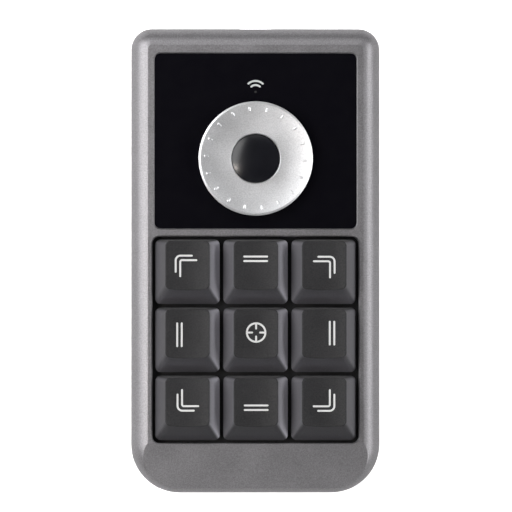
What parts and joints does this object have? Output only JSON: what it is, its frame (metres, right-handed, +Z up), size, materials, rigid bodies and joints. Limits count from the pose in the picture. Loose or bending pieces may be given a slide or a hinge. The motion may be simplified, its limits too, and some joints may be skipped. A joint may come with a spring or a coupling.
{
  "type": "macro keypad",
  "caption": "Wireless macro keypad with a rotating dial, a push button at the dial's centre and sculpted square keys in a slim grey case.",
  "frame": {"origin": "centre of the footprint, on the desk under the feet", "axes": "+X to the user's right, +Y away from the user towards the dial and the charging socket, +Z up"},
  "size_m": [0.0696, 0.13, 0.0203],
  "materials": {
    "frame_metal": "fine bead-blasted grey anodising",
    "cover_plastic": "fine matte texture",
    "foot_rubber": "matte",
    "screw_steel": "blackened",
    "board_laminate": "solder mask",
    "plate_steel": "satin black",
    "panel_gloss": "polished black",
    "dial_metal": "satin silver",
    "hub_plastic": "matte",
    "wheel_steel": "etched",
    "carrier_plastic": "matte",
    "guide_plastic": "matte",
    "button_gloss": "polished black",
    "switch_black": "matte",
    "plunger_plastic": "matte",
    "sensor_black": "matte",
    "light_guide_clear": "frosted clear",
    "lamp_white": "clear",
    "chip_black": "moulded",
    "battery_wrap": "foil pouch",
    "socket_steel": "drawn",
    "switch_steel": "drawn",
    "slider_plastic": "matte",
    "contact_brass": "plated",
    "keycap_plastic": "fine texture",
    "stem_plastic": "smooth",
    "spring_steel": "drawn wire",
    "housing_plastic": "smooth"
  },
  "bodies": {
    "case": {"top_frame": "frame_metal", "bottom_cover": "cover_plastic", "rubber_feet": "foot_rubber", "case_screws": "screw_steel", "circuit_board": "board_laminate", "switch_plate": "plate_steel", "dial_panel": "panel_gloss", "dial_carrier": "carrier_plastic", "button_guide": "guide_plastic", "tact_switch": "switch_black", "encoder_sensor": "sensor_black", "light_guide": "light_guide_clear", "status_lamp": "lamp_white", "controller_chip": "chip_black", "battery_pack": "battery_wrap", "usb_socket": "socket_steel", "power_switch": "switch_steel", "switch_contacts": "contact_brass", "switch_housing_r1c1": "housing_plastic", "switch_housing_r1c2": "housing_plastic", "switch_housing_r1c3": "housing_plastic", "switch_housing_r2c1": "housing_plastic", "switch_housing_r2c2": "housing_plastic", "switch_housing_r2c3": "housing_plastic", "switch_housing_r3c1": "housing_plastic", "switch_housing_r3c2": "housing_plastic", "switch_housing_r3c3": "housing_plastic"},
    "dial": {"dial_ring": "dial_metal", "dial_hub": "hub_plastic", "code_wheel": "wheel_steel"},
    "dial_button": {"button_cap": "button_gloss", "tact_plunger": "plunger_plastic"},
    "power_knob": {"power_slider": "slider_plastic"},
    "key_r1c1": {"keycap_r1c1": "keycap_plastic", "switch_stem_r1c1": "stem_plastic", "switch_spring_r1c1": "spring_steel"},
    "key_r1c2": {"keycap_r1c2": "keycap_plastic", "switch_stem_r1c2": "stem_plastic", "switch_spring_r1c2": "spring_steel"},
    "key_r1c3": {"keycap_r1c3": "keycap_plastic", "switch_stem_r1c3": "stem_plastic", "switch_spring_r1c3": "spring_steel"},
    "key_r2c1": {"keycap_r2c1": "keycap_plastic", "switch_stem_r2c1": "stem_plastic", "switch_spring_r2c1": "spring_steel"},
    "key_r2c2": {"keycap_r2c2": "keycap_plastic", "switch_stem_r2c2": "stem_plastic", "switch_spring_r2c2": "spring_steel"},
    "key_r2c3": {"keycap_r2c3": "keycap_plastic", "switch_stem_r2c3": "stem_plastic", "switch_spring_r2c3": "spring_steel"},
    "key_r3c1": {"keycap_r3c1": "keycap_plastic", "switch_stem_r3c1": "stem_plastic", "switch_spring_r3c1": "spring_steel"},
    "key_r3c2": {"keycap_r3c2": "keycap_plastic", "switch_stem_r3c2": "stem_plastic", "switch_spring_r3c2": "spring_steel"},
    "key_r3c3": {"keycap_r3c3": "keycap_plastic", "switch_stem_r3c3": "stem_plastic", "switch_spring_r3c3": "spring_steel"}
  },
  "joints": [
    {"name": "dial_spin", "type": "hinge", "parent": "case", "child": "dial", "pos_m": [0, 0.02845, 0.0144], "axis": [0, 0, 1], "continuous": true},
    {"name": "dial_press", "type": "slide", "parent": "case", "child": "dial_button", "axis": [0, 0, -1], "range_m": [0, 0.0005], "stiffness_N_per_m": 600, "springref_m": -0.001},
    {"name": "power_slide", "type": "slide", "parent": "case", "child": "power_knob", "axis": [1, 0, 0], "range_m": [0, 0.002]},
    {"name": "key_press_r1c1", "type": "slide", "parent": "case", "child": "key_r1c1", "axis": [0, 0, -1], "range_m": [0, 0.003], "stiffness_N_per_m": 100, "springref_m": -0.003, "deforming": ["switch_spring_r1c1"]},
    {"name": "key_press_r1c2", "type": "slide", "parent": "case", "child": "key_r1c2", "axis": [0, 0, -1], "range_m": [0, 0.003], "stiffness_N_per_m": 100, "springref_m": -0.003, "deforming": ["switch_spring_r1c2"]},
    {"name": "key_press_r1c3", "type": "slide", "parent": "case", "child": "key_r1c3", "axis": [0, 0, -1], "range_m": [0, 0.003], "stiffness_N_per_m": 100, "springref_m": -0.003, "deforming": ["switch_spring_r1c3"]},
    {"name": "key_press_r2c1", "type": "slide", "parent": "case", "child": "key_r2c1", "axis": [0, 0, -1], "range_m": [0, 0.003], "stiffness_N_per_m": 100, "springref_m": -0.003, "deforming": ["switch_spring_r2c1"]},
    {"name": "key_press_r2c2", "type": "slide", "parent": "case", "child": "key_r2c2", "axis": [0, 0, -1], "range_m": [0, 0.003], "stiffness_N_per_m": 100, "springref_m": -0.003, "deforming": ["switch_spring_r2c2"]},
    {"name": "key_press_r2c3", "type": "slide", "parent": "case", "child": "key_r2c3", "axis": [0, 0, -1], "range_m": [0, 0.003], "stiffness_N_per_m": 100, "springref_m": -0.003, "deforming": ["switch_spring_r2c3"]},
    {"name": "key_press_r3c1", "type": "slide", "parent": "case", "child": "key_r3c1", "axis": [0, 0, -1], "range_m": [0, 0.003], "stiffness_N_per_m": 100, "springref_m": -0.003, "deforming": ["switch_spring_r3c1"]},
    {"name": "key_press_r3c2", "type": "slide", "parent": "case", "child": "key_r3c2", "axis": [0, 0, -1], "range_m": [0, 0.003], "stiffness_N_per_m": 100, "springref_m": -0.003, "deforming": ["switch_spring_r3c2"]},
    {"name": "key_press_r3c3", "type": "slide", "parent": "case", "child": "key_r3c3", "axis": [0, 0, -1], "range_m": [0, 0.003], "stiffness_N_per_m": 100, "springref_m": -0.003, "deforming": ["switch_spring_r3c3"]}
  ]
}
